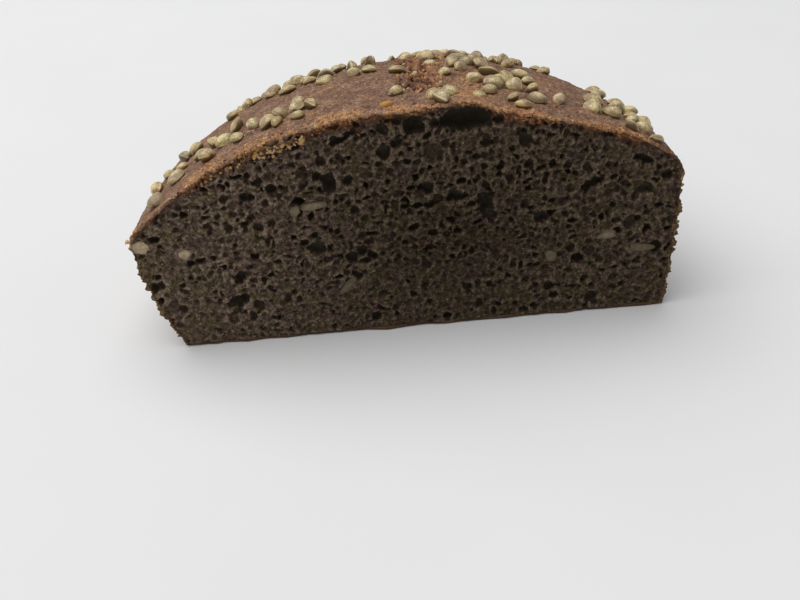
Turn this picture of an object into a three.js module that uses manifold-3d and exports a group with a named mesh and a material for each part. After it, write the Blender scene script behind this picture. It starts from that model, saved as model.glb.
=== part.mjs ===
// Half of an oval hemp loaf, cut straight across, standing on its flat base.
// Millimetres, +Z up. X runs across the cut face and Y from the cut towards the far end.
// The origin is on the floor, under the middle of the loaf.
import * as THREE from 'three';
import { mergeVertices } from 'three/addons/utils/BufferGeometryUtils.js';
import Module from 'manifold-3d';

// Driving dimensions of the half loaf
const WIDTH = 120; // across the cut, from the left lip to the right shoulder
const LENGTH = 86; // from the cut to the far end
const CROWN = 52; // floor to crown, at the cut
const LIP_LEFT = 27.5; // height at which the left wall ends in its lip
const LIP_RIGHT = 32.6; // height at which the right wall turns into the shoulder
const FOOT_LEFT = 52; // half width on the floor, left of the middle
const FOOT_RIGHT = 57.5; // half width on the floor, right of the middle
const FOOT_END = 5; // how far the far end draws in at the floor
const HALF = WIDTH / 2;

// Roundness of the outline: powers of the plan, of the ridge and of the two flanks
const PLAN = { left: 2.37, right: 1.67 };
const RIDGE = { power: 2.14, round: 0.9 };
const FLANK = {
  left: { power: 2.0, round: 0.86 },
  right: { power: 1.55, round: 0.53 },
};
const WALL_BULGE = 1.7; // how soon a wall swells out above the floor
const LEAN = 0.053; // drift of the middle towards the right, for each millimetre of depth

// Unevenness of the crust
const BLISTER = { x: 12, wide: 6.5, deep: 9, rise: 1.6 }; // swelling over the largest bubble
const HUMP = { x: 27, d: 52, wide: 20, deep: 20, rise: 1.6 }; // fuller part of the crown, far right
const TEAR = { x: 5, turn: 0.075, from: 13, to: 54, half: 3.2, depth: 1.8 }; // burst along the crown
const SWELL = 0.35; // height of the crust's low waves
// Crags of torn crust: where they lie across and behind the cut, and how many
const CRAG = { long: 1.6, wide: 1.1, thick: 0.9, vary: 0.35, lift: 0.25 };
const TORN = [
  { name: 'burst', from: [4.5, 14], to: [8, 55], half: 2.8, count: 18 },
  { name: 'rim', from: [-46, 2.2], to: [-20, 2.2], half: 1.2, count: 12 },
];

// Hemp seeds on the crust: half length, half width and half thickness
const SEED = { long: 2.22, wide: 1.66, thick: 1.22, vary: 0.2, lift: 0.5, apart: 3.4, edge: 0.93 };
// Where they fell: middle across and behind the cut, spread of both, and how many
const SCATTER = [
  { name: 'left lip', x: -51, d: 22, sx: 8, sd: 14, count: 6 },
  { name: 'left shoulder', x: -35, d: 15.5, sx: 7, sd: 7, count: 7 },
  { name: 'left flank', x: -23.5, d: 13, sx: 7, sd: 6, count: 6 },
  { name: 'left ridge', x: -34, d: 48, sx: 11, sd: 8, count: 9 },
  { name: 'crown left, far', x: -17, d: 46, sx: 13, sd: 11, count: 13 },
  { name: 'crown left', x: -9, d: 31, sx: 7, sd: 4, count: 3 },
  { name: 'left of the burst', x: 0, d: 11.5, sx: 0.5, sd: 0.5, count: 1 },
  { name: 'beside the burst', x: 1, d: 28, sx: 1, sd: 1, count: 1 },
  { name: 'crown front', x: 9.6, d: 7, sx: 3, sd: 7, count: 3 },
  { name: 'front', x: 17.5, d: 7.5, sx: 1, sd: 1, count: 1 },
  { name: 'crown right', x: 16.5, d: 34, sx: 8, sd: 14, count: 11 },
  { name: 'right flank', x: 27.5, d: 15, sx: 8, sd: 11, count: 8 },
  { name: 'right shoulder, near', x: 43, d: 8, sx: 4, sd: 8, count: 3 },
  { name: 'right shoulder', x: 50.5, d: 17, sx: 3, sd: 18, count: 6 },
  { name: 'right corner', x: 53, d: 7, sx: 5, sd: 5, count: 4 },
  { name: 'right ridge', x: 34, d: 50, sx: 12, sd: 8, count: 11 },
  { name: 'crown, far', x: 13, d: 57, sx: 14, sd: 7, count: 9 },
  { name: 'crown right, near', x: 24, d: 13, sx: 9, sd: 9, count: 5 },
  { name: 'far end', x: 3, d: 70, sx: 26, sd: 10, count: 9 },
  { name: 'shoulder, farther', x: 46, d: 35, sx: 3, sd: 7, count: 2 },
  { name: 'left flank, middle', x: -48.5, d: 19, sx: 3, sd: 10, count: 2 },
];

// Large bubbles opened by the cut: middle across and up, width and height
const BUBBLES = [
  { x: 13, z: 48.6, w: 11, h: 4.6 },
  { x: 2.3, z: 48.4, w: 3.7, h: 3.7 },
  { x: -16.4, z: 37.2, w: 3.2, h: 4.6 },
  { x: 6.3, z: 42.2, w: 3.8, h: 5.2 },
  { x: 17.2, z: 29.1, w: 3, h: 5 },
  { x: 5, z: 30.8, w: 11, h: 1.7 },
  { x: 40.2, z: 32.1, w: 5.2, h: 2.6 },
  { x: 51.5, z: 29.9, w: 4, h: 3.4 },
  { x: -38.6, z: 10.4, w: 4.4, h: 3.1 },
  { x: -20, z: 22.2, w: 4.8, h: 3 },
];
const PORE = { count: 24, least: 1.8, most: 3.4, depth: 0.55, apart: 5.5, margin: 3.2 };
const BUBBLE_DEPTH = 0.32; // of a bubble's width and height together
const DRAW_SEED = 20261;

// Fineness of the faceted solid
const ROWS = 30;
const DOME_COLUMNS = 36;
const WALL_LEVELS = 6;
const BASE_COLUMNS = 8;
const TRIES = 40;
const SMALLEST_EDGE = 0.01;

const CRUST = new THREE.MeshStandardMaterial({ color: 0x6a5040, roughness: 0.85, metalness: 0 });

// Numbers from 0 to 1 in a fixed order, so the loaf is the same each time
function drawer(seed) {
  let state = seed;
  return () => {
    state = (state * 48271) % 2147483647;
    return state / 2147483647;
  };
}

const bell = (value) => Math.exp(-value * value);

// Height of the lip or shoulder at a place across the loaf
function lipHeight(across) {
  return THREE.MathUtils.lerp(LIP_LEFT, LIP_RIGHT, THREE.MathUtils.smoothstep(across, -HALF, HALF));
}

// Half width of the plan at a depth t, 0 at the cut and 1 at the far end
function halfWidth(side, t) {
  const power = side < 0 ? PLAN.left : PLAN.right;
  return HALF * Math.pow(Math.max(0, 1 - Math.pow(t, power)), 1 / power);
}

// Low waves of the crust, fading out at the cut and at the lips
function swell(x, y, fade) {
  const long = Math.sin(0.21 * x + 0.11 * y + 0.6) * Math.sin(0.17 * y - 0.08 * x + 1.9);
  const short = Math.sin(0.47 * x - 0.29 * y) * Math.sin(0.39 * y + 0.23 * x + 0.8);
  return SWELL * fade * (long + 0.6 * short);
}

// Burst along the crown: a groove with lumps in it
function tear(x, d) {
  const middle = TEAR.x + TEAR.turn * (d - TEAR.from);
  const ends =
    THREE.MathUtils.smoothstep(d, TEAR.from - 4, TEAR.from + 4) *
    (1 - THREE.MathUtils.smoothstep(d, TEAR.to - 6, TEAR.to + 6));
  const lumps = 0.6 + 0.4 * Math.sin(1.1 * d + 0.9 * x);
  return TEAR.depth * ends * bell((x - middle) / TEAR.half) * lumps;
}

// Point of the domed top: u from -1 at the left lip to 1 at the right shoulder, t the depth
function domePoint(u, t) {
  const side = u < 0 ? -1 : 1;
  const across = u * halfWidth(side, t);
  const d = LENGTH * t;
  const x = across + LEAN * d;
  const flank = side < 0 ? FLANK.left : FLANK.right;
  const profile = Math.pow(Math.max(0, 1 - Math.pow(Math.abs(u), flank.power)), flank.round);
  const ridge = Math.pow(Math.max(0, 1 - Math.pow(t, RIDGE.power)), RIDGE.round);
  const lip = lipHeight(across);
  const blister = BLISTER.rise * bell((x - BLISTER.x) / BLISTER.wide) * bell(d / BLISTER.deep);
  const hump = HUMP.rise * bell((x - HUMP.x) / HUMP.wide) * bell((d - HUMP.d) / HUMP.deep);
  const relief = swell(x, d, profile * ridge * THREE.MathUtils.smoothstep(d, 0, 10));
  const z = lip + (CROWN - lip + hump) * ridge * profile + blister + relief - tear(x, d);
  return new THREE.Vector3(x, d - LENGTH / 2, z);
}

// Point of a side wall: s from 0 on the floor to 1 at the lip
function wallPoint(side, s, t) {
  const inward = Math.pow(1 - s, WALL_BULGE);
  const foot = side < 0 ? FOOT_LEFT : FOOT_RIGHT;
  const width = halfWidth(side, t);
  const across = side * width * (1 - (1 - foot / HALF) * inward);
  const d = t * (LENGTH - FOOT_END * inward);
  return new THREE.Vector3(across + LEAN * d, d - LENGTH / 2, s * lipHeight(side * width));
}

// One closed section at depth t: up the left wall, over the dome, down the right wall, back below
function section(t) {
  const points = [];
  for (let i = 0; i <= WALL_LEVELS; i++) points.push(wallPoint(-1, i / WALL_LEVELS, t));
  for (let i = 1; i < DOME_COLUMNS; i++) points.push(domePoint(-Math.cos((Math.PI * i) / DOME_COLUMNS), t));
  for (let i = WALL_LEVELS; i >= 0; i--) points.push(wallPoint(1, i / WALL_LEVELS, t));
  const right = points[points.length - 1];
  const left = points[0];
  for (let i = 1; i < BASE_COLUMNS; i++) points.push(right.clone().lerp(left, i / BASE_COLUMNS));
  return points;
}

// The whole half loaf as rows of sections, closed by the flat cut in front
function loafGeometry() {
  const rows = [];
  for (let j = 0; j <= ROWS; j++) rows.push(section(Math.sin((Math.PI / 2) * (j / ROWS))));
  const around = rows[0].length;
  const index = [];
  for (let j = 0; j < ROWS; j++) {
    for (let k = 0; k < around; k++) {
      const next = (k + 1) % around;
      const [a, b, c, d] = [j * around + k, j * around + next, (j + 1) * around + next, (j + 1) * around + k];
      index.push(a, b, c, a, c, d);
    }
  }
  const outline = rows[0].map((p) => new THREE.Vector2(p.x, p.z));
  for (const [a, b, c] of THREE.ShapeUtils.triangulateShape(outline, [])) {
    const turn = outline[b].clone().sub(outline[a]).cross(outline[c].clone().sub(outline[a]));
    index.push(...(turn > 0 ? [a, b, c] : [a, c, b]));
  }
  const geometry = new THREE.BufferGeometry().setFromPoints(rows.flat());
  geometry.setIndex(index);
  return geometry;
}

// A hemp seed: an egg drawn out to a point at one end, few-sided
function seedGeometry() {
  const geometry = new THREE.IcosahedronGeometry(1, 0);
  const position = geometry.attributes.position;
  for (let i = 0; i < position.count; i++) {
    const taper = 1 - 0.16 * position.getX(i);
    position.setXYZ(i, position.getX(i), position.getY(i) * taper, position.getZ(i) * taper);
  }
  return geometry;
}

// Depth and place across turned into the dome's own u and t, or null outside the crust
function onCrust(x, d) {
  const t = d / LENGTH;
  if (t < 0.02 || t > SEED.edge) return null;
  const across = x - LEAN * d;
  const u = across / halfWidth(across, t);
  return Math.abs(u) < SEED.edge ? { u, t } : null;
}

// Upright direction of the crust at a place, from two short steps along it
function crustNormal(u, t) {
  const step = 0.01;
  const alongU = domePoint(u + step, t).sub(domePoint(u - step, t));
  const alongT = domePoint(u, t + step).sub(domePoint(u, t - step));
  return alongU.cross(alongT).normalize();
}

// Where each seed lies and how it is turned, group by group
function seedPlaces() {
  const draw = drawer(DRAW_SEED);
  const spread = () => draw() + draw() + draw() - 1.5;
  const placed = [];
  for (const group of SCATTER) {
    let left = group.count;
    for (let attempt = 0; attempt < TRIES * group.count && left > 0; attempt++) {
      const x = group.x + group.sx * spread();
      const d = group.d + group.sd * spread();
      const spot = onCrust(x, d);
      if (!spot) continue;
      const point = domePoint(spot.u, spot.t);
      if (placed.some((other) => other.point.distanceTo(point) < SEED.apart)) continue;
      const size = 1 + SEED.vary * (2 * draw() - 1);
      placed.push({ point, normal: crustNormal(spot.u, spot.t), spin: 2 * Math.PI * draw(), size });
      left -= 1;
    }
  }
  return placed;
}

// Where each crag of torn crust stands, strip by strip
function cragPlaces() {
  const draw = drawer(DRAW_SEED + 3);
  const placed = [];
  for (const strip of TORN) {
    for (let i = 0; i < strip.count; i++) {
      const along = (i + draw()) / strip.count;
      const x = THREE.MathUtils.lerp(strip.from[0], strip.to[0], along) + strip.half * (2 * draw() - 1);
      const d = THREE.MathUtils.lerp(strip.from[1], strip.to[1], along) + strip.half * (2 * draw() - 1);
      const size = 1 + CRAG.vary * (2 * draw() - 1);
      const { u, t } = onCrust(x, Math.max(d, 2));
      placed.push({ point: domePoint(u, t), normal: crustNormal(u, t), spin: 2 * Math.PI * draw(), size });
    }
  }
  return placed;
}

// Frame of a seed or crag: thickness along the crust's upright, length turned about it
function placeMatrix(form, { point, normal, spin, size }) {
  const upright = new THREE.Quaternion().setFromUnitVectors(new THREE.Vector3(0, 0, 1), normal);
  const turned = upright.multiply(new THREE.Quaternion().setFromAxisAngle(new THREE.Vector3(0, 0, 1), spin));
  const scale = new THREE.Vector3(form.long, form.wide, form.thick).multiplyScalar(size);
  const middle = point.clone().addScaledVector(normal, form.lift * form.thick * size);
  return new THREE.Matrix4().compose(middle, turned, scale);
}

// Smaller pores spread over the crumb, clear of the crust and of each other
function porePlaces() {
  const draw = drawer(DRAW_SEED + 7);
  const pores = BUBBLES.map((bubble) => ({ ...bubble, depth: BUBBLE_DEPTH * (bubble.w + bubble.h) }));
  let left = PORE.count;
  for (let attempt = 0; attempt < TRIES * PORE.count && left > 0; attempt++) {
    const x = (2 * draw() - 1) * (HALF - PORE.margin);
    const z = PORE.margin + draw() * (CROWN - 2 * PORE.margin);
    const w = THREE.MathUtils.lerp(PORE.least, PORE.most, draw());
    const h = w * THREE.MathUtils.lerp(0.6, 1.1, draw());
    const foot = x < 0 ? FOOT_LEFT : FOOT_RIGHT;
    const inside = z < domePoint(x / HALF, 0).z - PORE.margin && Math.abs(x) < foot - PORE.margin;
    if (!inside) continue;
    if (pores.some((p) => Math.hypot(p.x - x, p.z - z) < PORE.apart + p.w / 2 - 1)) continue;
    pores.push({ x, z, w, h, depth: PORE.depth * w });
    left -= 1;
  }
  return pores;
}

function poreMatrix({ x, z, w, h, depth }) {
  const middle = new THREE.Vector3(x, -LENGTH / 2, z);
  return new THREE.Matrix4().compose(middle, new THREE.Quaternion(), new THREE.Vector3(w / 2, depth, h / 2));
}

const wasm = await Module();
wasm.setup();

// A closed geometry as a solid that can be joined and cut
function solidFrom(geometry, matrix = new THREE.Matrix4()) {
  const bare = geometry.clone().applyMatrix4(matrix);
  bare.deleteAttribute('normal');
  bare.deleteAttribute('uv');
  const merged = mergeVertices(bare, 1e-4);
  const corners = merged.index.array;
  const triVerts = [];
  for (let i = 0; i < corners.length; i += 3) {
    const [a, b, c] = corners.slice(i, i + 3);
    if (a !== b && b !== c && c !== a) triVerts.push(a, b, c);
  }
  const vertProperties = merged.attributes.position.array;
  return new wasm.Manifold(new wasm.Mesh({ numProp: 3, vertProperties, triVerts: new Uint32Array(triVerts) }));
}

// The solid's one body as a geometry, without the scraps that cutting can leave
function geometryFrom(solid) {
  const bodies = solid.simplify(SMALLEST_EDGE).decompose();
  const body = bodies.reduce((best, other) => (other.volume() > best.volume() ? other : best));
  const { vertProperties, triVerts } = body.getMesh();
  const geometry = new THREE.BufferGeometry();
  geometry.setAttribute('position', new THREE.BufferAttribute(vertProperties, 3));
  geometry.setIndex(new THREE.BufferAttribute(triVerts, 1));
  geometry.computeVertexNormals();
  return geometry;
}

// Half loaf with its seeds and crags fused on and its larger pores opened by the cut
function makeLoaf() {
  const seed = seedGeometry();
  const crag = new THREE.IcosahedronGeometry(1, 0);
  const pore = new THREE.IcosahedronGeometry(1, 1);
  const seeds = seedPlaces().map((place) => solidFrom(seed, placeMatrix(SEED, place)));
  const crags = cragPlaces().map((place) => solidFrom(crag, placeMatrix(CRAG, place)));
  const pores = porePlaces().map((place) => solidFrom(pore, poreMatrix(place)));
  const joined = [...seeds, ...crags].reduce((body, one) => body.add(one), solidFrom(loafGeometry()));
  const cut = pores.reduce((body, one) => body.subtract(one), joined);
  const mesh = new THREE.Mesh(geometryFrom(cut), CRUST);
  mesh.name = 'loaf';
  return mesh;
}

const hempLoaf = new THREE.Group();
hempLoaf.add(makeLoaf());

export default hempLoaf;
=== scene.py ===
# %% [markdown]
# # Half a hemp loaf
#
# This lesson dresses one half of a dark oval loaf: a domed crust strewn with hemp seeds, and a straight cut
# that lays the porous crumb open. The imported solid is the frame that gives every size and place. The pieces
# made here stand for it, and all are meshes worked out from arrays, so that the relief is real.

# %% The frame and its box
import math

import bpy
import numpy as np
from mathutils import Matrix, Vector
from mathutils.kdtree import KDTree


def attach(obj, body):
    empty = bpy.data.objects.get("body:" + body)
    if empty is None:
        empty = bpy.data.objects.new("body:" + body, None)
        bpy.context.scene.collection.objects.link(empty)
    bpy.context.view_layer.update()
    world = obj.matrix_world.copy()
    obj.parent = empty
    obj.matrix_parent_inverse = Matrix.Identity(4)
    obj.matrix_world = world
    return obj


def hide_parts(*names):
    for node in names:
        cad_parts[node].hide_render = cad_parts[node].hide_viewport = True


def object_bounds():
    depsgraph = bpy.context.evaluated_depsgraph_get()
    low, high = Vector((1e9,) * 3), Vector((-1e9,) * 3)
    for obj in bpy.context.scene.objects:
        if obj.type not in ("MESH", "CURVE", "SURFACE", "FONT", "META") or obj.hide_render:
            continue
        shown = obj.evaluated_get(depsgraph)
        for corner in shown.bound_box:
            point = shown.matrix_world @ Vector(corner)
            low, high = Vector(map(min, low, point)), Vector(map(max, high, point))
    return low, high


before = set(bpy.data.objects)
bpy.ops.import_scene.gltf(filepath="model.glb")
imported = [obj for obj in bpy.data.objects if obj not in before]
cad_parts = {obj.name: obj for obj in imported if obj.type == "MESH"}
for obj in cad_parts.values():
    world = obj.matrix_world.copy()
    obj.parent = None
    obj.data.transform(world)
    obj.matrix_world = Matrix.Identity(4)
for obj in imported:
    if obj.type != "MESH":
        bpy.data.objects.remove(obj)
cad_low, cad_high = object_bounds()
MM = 0.001
WIDTH = (cad_high.x - cad_low.x) / MM
LENGTH = (cad_high.y - cad_low.y) / MM
print("loaf across and deep, mm:", round(WIDTH, 2), round(LENGTH, 2))

# %% [markdown]
# ## The form of the loaf
#
# A few curves give the loaf its form: the plan narrows towards the far end, the ridge sinks with it, and each
# flank is a power curve from the crown to the lip. The same named sizes shaped the solid, so both agree.
# Lengths here are in millimetres, and turn into metres only when a mesh is made.

# %% Sizes of the loaf
HALF = WIDTH / 2
CUT = -LENGTH / 2
CROWN = 52.0
LEAN = 0.053
RIDGE_POWER = 2.14
RIDGE_ROUND = 0.9
# Left and right of the loaf
LIP = (27.5, 32.6)
FOOT = (52.0, 57.5)
PLAN_POWER = (2.37, 1.67)
FLANK_POWER = (2.0, 1.55)
FLANK_ROUND = (0.86, 0.53)
FOOT_END = 5.0
WALL_BULGE = 1.7
# Low mounds: middle across and behind the cut, spread of both, height
BLISTER = {"x": 12.0, "d": 0.0, "wide": 6.5, "deep": 9.0, "rise": 1.6}
HUMP = {"x": 27.0, "d": 52.0, "wide": 20.0, "deep": 20.0, "rise": 1.6}
TEAR = {"x": 5.0, "turn": 0.075, "from": 13.0, "to": 54.0, "half": 3.2, "depth": 1.8}
TEAR_START = 4.0
TEAR_END = 6.0
SWELL = 0.35
SWELL_FROM = 10.0
print("the cut lies at y, mm:", CUT)

# %% Curves of the loaf
def smooth(value, low=0.0, high=1.0):
    """Rises softly from 0 at low to 1 at high."""
    share = np.clip((value - low) / (high - low), 0.0, 1.0)
    return share * share * (3.0 - 2.0 * share)


def fade(value, low, high):
    """Sinks softly from 1 at low to 0 at high."""
    return 1.0 - smooth(value, low, high)


def bell(value):
    """One at nought, falling off to both sides."""
    return np.exp(-value * value)


def mound(x, d, spot):
    """Height of a low mound at x across and d behind the cut."""
    return spot["rise"] * bell((x - spot["x"]) / spot["wide"]) * bell((d - spot["d"]) / spot["deep"])


def sided(right, pair):
    """The left or the right value of a pair."""
    return np.where(right, pair[1], pair[0])


def lip_height(across):
    """Height of the lip or shoulder at a place across the loaf."""
    return LIP[0] + (LIP[1] - LIP[0]) * smooth(across, -HALF, HALF)


def half_width(right, t):
    """Half width of the plan at depth t, which is 0 at the cut and 1 at the far end."""
    power = sided(right, PLAN_POWER)
    return HALF * np.maximum(0.0, 1.0 - t**power) ** (1.0 / power)


print("half width at the cut and half way back, mm:", half_width(True, np.array([0.0, 0.5])).round(1))


# %% The burst and the waves
def tear_aside(x, d):
    """Distance across from the middle of the burst along the crown."""
    return x - TEAR["x"] - TEAR["turn"] * (d - TEAR["from"])


def tear_strength(d):
    """Share of the burst, which dies away towards its two ends."""
    start = smooth(d, TEAR["from"] - TEAR_START, TEAR["from"] + TEAR_START)
    return start * fade(d, TEAR["to"] - TEAR_END, TEAR["to"] + TEAR_END)


def tear_depth(x, d):
    """Depth of the burst."""
    lumps = 0.6 + 0.4 * np.sin(1.1 * d + 0.9 * x)
    return TEAR["depth"] * tear_strength(d) * bell(tear_aside(x, d) / TEAR["half"]) * lumps


def swell(x, d):
    """Low waves of the crust."""
    long = np.sin(0.21 * x + 0.11 * d + 0.6) * np.sin(0.17 * d - 0.08 * x + 1.9)
    short = np.sin(0.47 * x - 0.29 * d) * np.sin(0.39 * d + 0.23 * x + 0.8)
    return SWELL * (long + 0.6 * short)


print("burst, mm deep half way:", round(float(tear_depth(TEAR["x"], (TEAR["from"] + TEAR["to"]) / 2)), 2))


# %% Points of the loaf
def dome_point(u, t):
    """Points of the domed top: u from -1 at the left lip to 1 at the right shoulder."""
    right = u >= 0.0
    across = u * half_width(right, t)
    d = LENGTH * t
    x = across + LEAN * d
    profile = np.maximum(0.0, 1.0 - np.abs(u) ** sided(right, FLANK_POWER)) ** sided(right, FLANK_ROUND)
    ridge = np.maximum(0.0, 1.0 - t**RIDGE_POWER) ** RIDGE_ROUND
    lip = lip_height(across)
    dome_rise = (CROWN - lip + mound(x, d, HUMP)) * ridge * profile
    waves = swell(x, d) * profile * ridge * smooth(d, 0.0, SWELL_FROM)
    z = lip + dome_rise + mound(x, d, BLISTER) + waves - tear_depth(x, d)
    return np.stack(np.broadcast_arrays(x, CUT + d, z), axis=-1)


def wall_point(right, s, t):
    """Points of a side wall: s from 0 on the floor to 1 at the lip."""
    side = 1.0 if right else -1.0
    inset = (1.0 - s) ** WALL_BULGE
    width = half_width(right, t)
    across = side * width * (1.0 - (1.0 - FOOT[right] / HALF) * inset)
    d = t * (LENGTH - FOOT_END * inset)
    return np.stack([across + LEAN * d, CUT + d, s * lip_height(side * width)], axis=-1)


print("crown at the cut, mm:", dome_point(0.0, 0.0).round(2))

# %% [markdown]
# ## Chance that repeats
#
# Bread is uneven, but a script has to make the same bread each time. So it has a number drawer, the one that
# placed the seeds on the solid, and a cloud of smooth noise read from a fixed table, which over whole arrays
# is much faster than Blender's own noise. The last number given to a cloud only picks its table.

# %% Drawer and clouds
DRAW_SEED = 20261
DRAW_STEP = 48271
DRAW_LIMIT = 2147483647
TABLE = 48


def drawer(seed):
    """Numbers from 0 to 1 in a fixed order."""
    while True:
        seed = seed * DRAW_STEP % DRAW_LIMIT
        yield seed / DRAW_LIMIT


def cloud(points, size, seed):
    """Smooth noise from -1 to 1 with lumps of the given size, over an array of points."""
    table = np.random.default_rng(seed).random((TABLE, TABLE, TABLE)) * 2.0 - 1.0
    place = np.asarray(points) / size
    low = np.floor(place).astype(int)
    part = smooth(place - low)
    total = np.zeros(place.shape[:-1])
    for corner in np.ndindex(2, 2, 2):
        weight = np.prod(np.where(corner, part, 1.0 - part), axis=-1)
        cell = (low + corner) % TABLE
        total += weight * table[cell[..., 0], cell[..., 1], cell[..., 2]]
    return total


def rough(points, sizes, heights, seed):
    """Several clouds on top of each other, from coarse to fine."""
    total = 0.0
    for step, (size, height) in enumerate(zip(sizes, heights)):
        total = total + height * cloud(points, size, seed + step)
    return total


print("first number drawn:", round(next(drawer(DRAW_SEED)), 4))

# %% [markdown]
# ## From arrays to meshes
#
# Every piece becomes a mesh in the same way: points in millimetres, faces as rows of corner numbers, a map
# for each corner, and named values on the points that the finishes read. One function does it for all.

# %% Mesh maker
def put_in(name, data):
    """A new object in the scene."""
    thing = bpy.data.objects.new(name, data)
    bpy.context.scene.collection.objects.link(thing)
    return thing


def make_piece(name, points, faces, corner_map, values):
    """A piece of the loaf from arrays: it rides on the one body and stands for the solid."""
    mesh = bpy.data.meshes.new(name)
    mesh.from_pydata((np.asarray(points) * MM).tolist(), [], faces)
    layer = mesh.uv_layers.new(name="OFBake")
    layer.data.foreach_set("uv", np.asarray(corner_map, dtype=np.float32).ravel())
    for title, numbers in values.items():
        numbers = np.asarray(numbers, dtype=np.float32)
        kind, field = ("FLOAT_VECTOR", "vector") if numbers.ndim == 2 else ("FLOAT", "value")
        mesh.attributes.new(title, kind, "POINT").data.foreach_set(field, numbers.ravel())
    mesh.shade_smooth()
    mesh.update()
    piece = put_in(name, mesh)
    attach(piece, "root")
    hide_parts("loaf")
    print(name, "points", len(mesh.vertices), "triangles", sum(len(face) - 2 for face in faces))
    return piece


def grid_faces(rows, columns, first=0, wrap=False):
    """Four-cornered faces between the rows of a grid of points."""
    j, k = np.meshgrid(np.arange(rows - 1), np.arange(columns if wrap else columns - 1), indexing="ij")
    after = (k + 1) % columns
    corners = [j * columns + k, j * columns + after, (j + 1) * columns + after, (j + 1) * columns + k]
    return np.stack(corners, axis=-1).reshape(-1, 4) + first


def unit(vectors):
    """Directions of length one."""
    return vectors / np.maximum(np.linalg.norm(vectors, axis=-1, keepdims=True), 1e-9)


def run_along(line):
    """Length run along a line of points, from nought."""
    return np.append(0.0, np.cumsum(np.linalg.norm(np.diff(line, axis=0), axis=1)))


print("faces of a grid of three by three points:", len(grid_faces(3, 3)))

# %% [markdown]
# ## Pores
#
# Baking gas leaves bubbles of every size, and the knife opens them as round sinks. Cutting them by Booleans
# would take minutes, so a sheet of depths is kept instead, and each pore is pressed into its own small window
# of it. Noise bends the outlines, because no bubble in bread is a true circle.

# %% Pressing pores into a sheet
BEND_REACH = 1.0
PORE_TURN = 0.6


def turned_plane(dx, dz, turn):
    """Steps across and up, seen along axes turned by an angle."""
    c, s = math.cos(turn), math.sin(turn)
    return c * dx + s * dz, c * dz - s * dx


def press_pores(across, along, pores, bends, bend_share=1.0):
    """Depths of a sheet of rows (along) and columns (across) with every pore pressed into it."""
    depth = np.zeros((len(along), len(across)))
    for x, z, half_w, half_h, deep, steep, turn in pores:
        size = max(half_w, half_h) + BEND_REACH
        k0, k1 = np.searchsorted(across, [x - size, x + size])
        j0, j1 = np.searchsorted(along, [z - size, z + size])
        if k0 == k1 or j0 == j1:
            continue
        window = (slice(j0, j1), slice(k0, k1))
        dx = across[None, k0:k1] + bend_share * bends[0][window] - x
        dz = along[j0:j1, None] + bend_share * bends[1][window] - z
        a, b = turned_plane(dx, dz, turn)
        sink = deep * np.maximum(0.0, 1.0 - (a / half_w) ** 2 - (b / half_h) ** 2) ** steep
        depth[window] = np.maximum(depth[window], sink)
    return depth


def scatter_pores(kinds, wide, high, seed, keep=None):
    """Random pores over a sheet, kind by kind: (count, least, most half width)."""
    chance = np.random.default_rng(seed)
    pores = []
    for count, least, most in kinds:
        for _ in range(count):
            x = chance.uniform(*wide)
            z = chance.uniform(*high)
            half_w = chance.uniform(least, most)
            half_h = half_w * chance.uniform(0.78, 1.2)
            deep = half_w * (0.45 + 1.9 * chance.random() ** 1.6)
            steep = chance.uniform(0.35, 0.75)
            turn = chance.uniform(-PORE_TURN, PORE_TURN)
            if keep is None or chance.random() < keep(z):
                pores.append((x, z, half_w, half_h, deep, steep, turn))
    return pores


print("ten pores of one kind:", len(scatter_pores([(10, 0.2, 0.4)], (0.0, 5.0), (0.0, 5.0), 1)))

# %% [markdown]
# ## The crust
#
# The crust is a skin over the dome, the drafted walls and the base. Its points form one grid: columns run
# round the section, rows run from the cut to the far end, closest near the cut where the eye is. Over the
# large bubble the crust is thin and stands up like a roof.

# %% Columns round the section and rows into the depth
DOME_STEP = 0.42
WALL_STEP = 0.38
BASE_COLUMNS = 24
CRUST_ROWS = 168
EDGE_SHARE = 0.52
LAST_ROW = 0.99995
DENSE = 4000
ROOF = {"x": 15.8, "d": 0.0, "wide": 5.0, "deep": 6.0, "rise": 0.75}


def with_roof(dome):
    """Points of the dome, raised where the thin crust roofs the large bubble."""
    return dome + mound(dome[..., 0], dome[..., 1] - CUT, ROOF)[..., None] * [0.0, 0.0, 1.0]


share = np.linspace(0.0, 1.0, CRUST_ROWS + 1)
row_t = np.sin(math.pi / 2 * (EDGE_SHARE * share + (1.0 - EDGE_SHARE) * share**2))
row_t[-1] = LAST_ROW
dense_u = -np.cos(np.linspace(0.0, math.pi, DENSE))
run = run_along(dome_point(dense_u, 0.0))
dome_u = np.interp(np.linspace(0.0, run[-1], int(run[-1] / DOME_STEP) + 1), run, dense_u)[1:-1]
left_s = np.linspace(0.0, 1.0, int(LIP[0] / WALL_STEP) + 1)
right_s = np.linspace(1.0, 0.0, int(LIP[1] / WALL_STEP) + 1)
left_wall = wall_point(False, left_s, row_t[:, None])
dome = with_roof(dome_point(dome_u, row_t[:, None]))
right_wall = wall_point(True, right_s, row_t[:, None])
base_share = np.linspace(0.0, 1.0, BASE_COLUMNS + 1)[1:-1, None]
base = right_wall[:, -1:] * (1.0 - base_share) + left_wall[:, :1] * base_share
crust_grid = np.concatenate([left_wall, dome, right_wall, base], axis=1)
rows, columns = crust_grid.shape[:2]
behind = crust_grid[..., 1] - CUT
left_end, dome_end, right_end = np.cumsum([part.shape[1] for part in (left_wall, dome, right_wall)])
TOP = slice(left_end, dome_end)
BASE = slice(right_end, columns)
# Walls: columns, heights, and the height from which the wall looks like the top
WALLS = [(slice(0, left_end), left_s, 0.86), (slice(dome_end, right_end), right_s, 0.8)]
print("crust grid, rows and columns:", rows, columns)

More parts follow.
